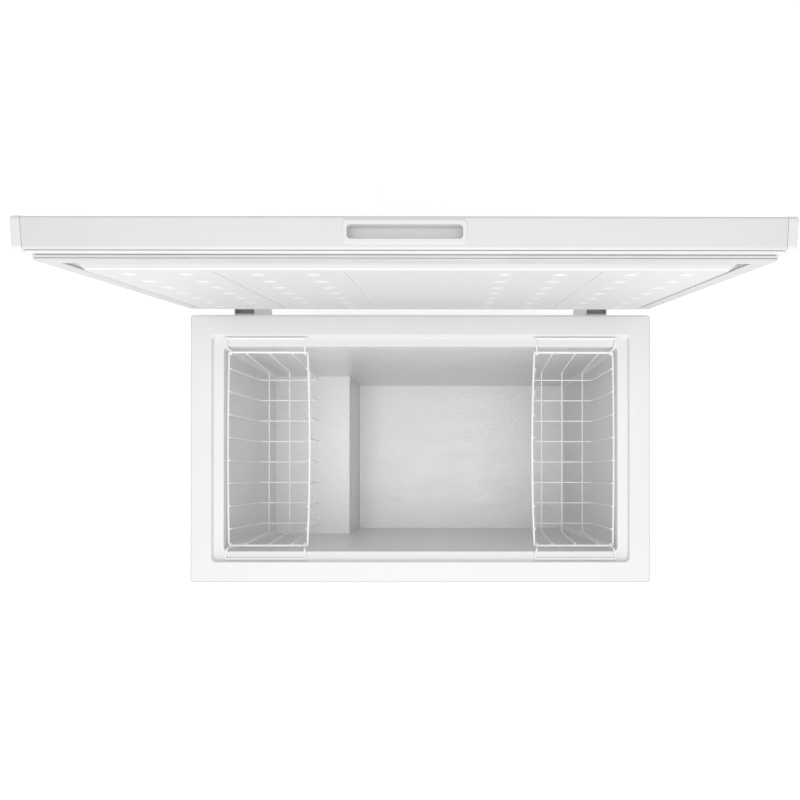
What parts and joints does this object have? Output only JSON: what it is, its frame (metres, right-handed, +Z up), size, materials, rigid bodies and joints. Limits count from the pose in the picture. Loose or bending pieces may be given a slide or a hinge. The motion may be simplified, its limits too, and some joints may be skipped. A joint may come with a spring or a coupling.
{
  "type": "chest freezer",
  "caption": "White chest freezer with a counterbalanced lift-up lid, embossed metal liner with a compressor step, rim ledge and hanging wire baskets.",
  "frame": {"origin": "on the floor, under the middle of the cabinet", "axes": "+Z up, +X to the right seen from the front, +Y to the back, where the hinges are; the lid stands open at rest"},
  "size_m": [1.041, 0.6693, 1.4367],
  "materials": {
    "cabinet_paint": "smooth white paint, light orange peel",
    "galvanised": "galvanised sheet, dull",
    "black_paint": "black paint, semi-gloss",
    "rim_plastic": "moulded white plastic, satin",
    "liner_aluminium": "stucco-embossed aluminium",
    "tube_steel": "drawn steel tube",
    "tube_copper": "copper tube, dull",
    "foam": "rigid polyurethane foam",
    "rubber_black": "matt rubber",
    "zinc_screw": "zinc plated",
    "black_plastic": "matt black plastic",
    "trim_plastic": "white plastic, fine grain",
    "panel_plastic": "white plastic, satin",
    "lens_green": "clear green plastic",
    "lens_red": "clear red plastic",
    "lens_amber": "clear amber plastic",
    "hinge_paint": "white paint",
    "hinge_steel": "zinc-plated steel",
    "lid_paint": "smooth white paint",
    "lid_plastic": "white plastic, fine grain",
    "lid_liner_plastic": "vacuum-formed white plastic, satin",
    "gasket": "soft light grey PVC",
    "wire_white": "white powder coat"
  },
  "bodies": {
    "cabinet": {"outer_wrap": "cabinet_paint", "back_panel": "cabinet_paint", "base_pan": "galvanised", "compressor_tray": "galvanised", "bay_partition": "galvanised", "top_frame": "rim_plastic", "liner_walls": "liner_aluminium", "liner_floor": "liner_aluminium", "cabinet_foam": "foam", "evaporator_coil": "tube_steel", "condenser_coil": "tube_steel", "compressor": "black_paint", "compressor_grommets": "rubber_black", "compressor_bolts": "zinc_screw", "relay_cover": "black_plastic", "filter_drier": "tube_copper", "discharge_pipe": "tube_copper", "suction_pipe": "tube_copper", "capillary_tube": "tube_copper", "side_grille": "trim_plastic", "service_cover": "cabinet_paint", "service_cover_screws": "zinc_screw", "cord_gland": "black_plastic", "control_panel": "panel_plastic", "thermostat_body": "black_plastic", "lens_power": "lens_green", "lens_run": "lens_amber", "lens_alarm": "lens_red", "drain_tube": "trim_plastic", "feet": "rubber_black", "hinge_pins": "hinge_steel", "hinge_screws": "zinc_screw", "hinge_box_left": "hinge_paint", "hinge_box_right": "hinge_paint", "hinge_spring_left": "hinge_steel", "hinge_spring_right": "hinge_steel"},
    "lid": {"lid_skin": "lid_paint", "lid_end_cap_left": "lid_plastic", "lid_end_cap_right": "lid_plastic", "lid_liner": "lid_liner_plastic", "lid_gasket": "gasket", "lid_foam": "foam", "lid_handle": "lid_plastic", "lid_bracket_left": "hinge_steel", "lid_bracket_right": "hinge_steel", "lid_bracket_screws": "zinc_screw"},
    "rod_left": {"hinge_rod_left": "hinge_steel"},
    "rod_right": {"hinge_rod_right": "hinge_steel"},
    "basket_left": {"basket_frame_left": "wire_white", "basket_mesh_left": "wire_white"},
    "basket_right": {"basket_frame_right": "wire_white", "basket_mesh_right": "wire_white"},
    "handle_left_front": {"basket_handle_left_front": "wire_white"},
    "handle_left_rear": {"basket_handle_left_rear": "wire_white"},
    "handle_right_front": {"basket_handle_right_front": "wire_white"},
    "handle_right_rear": {"basket_handle_right_rear": "wire_white"},
    "knob": {"thermostat_knob": "trim_plastic"},
    "floor_plug": {"inner_drain_plug": "trim_plastic"},
    "drain_cap": {"drain_cap": "trim_plastic"}
  },
  "joints": [
    {"name": "lid_hinge", "type": "hinge", "parent": "cabinet", "child": "lid", "pos_m": [0, 0.3177, 0.8073], "axis": [-1, 0, 0], "range_deg": [-82.7, 0], "stiffness_Nm_per_rad": 14},
    {"name": "hinge_rod_left_slide", "type": "slide", "parent": "cabinet", "child": "rod_left", "axis": [0, 0, 1], "range_m": [0, 0.024], "deforming": ["hinge_spring_left"]},
    {"name": "hinge_rod_right_slide", "type": "slide", "parent": "cabinet", "child": "rod_right", "axis": [0, 0, 1], "range_m": [0, 0.024], "deforming": ["hinge_spring_right"]},
    {"name": "basket_left_lift", "type": "slide", "parent": "cabinet", "child": "basket_left", "axis": [0, 0, 1], "range_m": [0, 0.35]},
    {"name": "basket_handle_left_front_fold", "type": "hinge", "parent": "basket_left", "child": "handle_left_front", "pos_m": [-0.3495, -0.2225, 0.764], "axis": [-1, 0, 0], "range_deg": [0, 95]},
    {"name": "basket_handle_left_rear_fold", "type": "hinge", "parent": "basket_left", "child": "handle_left_rear", "pos_m": [-0.3495, 0.2195, 0.764], "axis": [1, 0, 0], "range_deg": [0, 95]},
    {"name": "basket_right_lift", "type": "slide", "parent": "cabinet", "child": "basket_right", "axis": [0, 0, 1], "range_m": [0, 0.35]},
    {"name": "basket_handle_right_front_fold", "type": "hinge", "parent": "basket_right", "child": "handle_right_front", "pos_m": [0.3495, -0.2225, 0.764], "axis": [-1, 0, 0], "range_deg": [0, 95]},
    {"name": "basket_handle_right_rear_fold", "type": "hinge", "parent": "basket_right", "child": "handle_right_rear", "pos_m": [0.3495, 0.2195, 0.764], "axis": [1, 0, 0], "range_deg": [0, 95]},
    {"name": "thermostat_dial", "type": "hinge", "parent": "cabinet", "child": "knob", "pos_m": [-0.352, -0.3, 0.155], "axis": [0, -1, 0], "range_deg": [0, 270]},
    {"name": "floor_plug_pull", "type": "slide", "parent": "cabinet", "child": "floor_plug", "axis": [0, 0, 1], "range_m": [0, 0.06]},
    {"name": "drain_cap_pull", "type": "slide", "parent": "cabinet", "child": "drain_cap", "axis": [0, -1, 0], "range_m": [0, 0.03]}
  ],
  "couplings": [
    {"joint": "hinge_rod_left_slide", "follows": "lid_hinge", "m_per_rad": -0.016475},
    {"joint": "hinge_rod_right_slide", "follows": "lid_hinge", "m_per_rad": -0.016475}
  ]
}
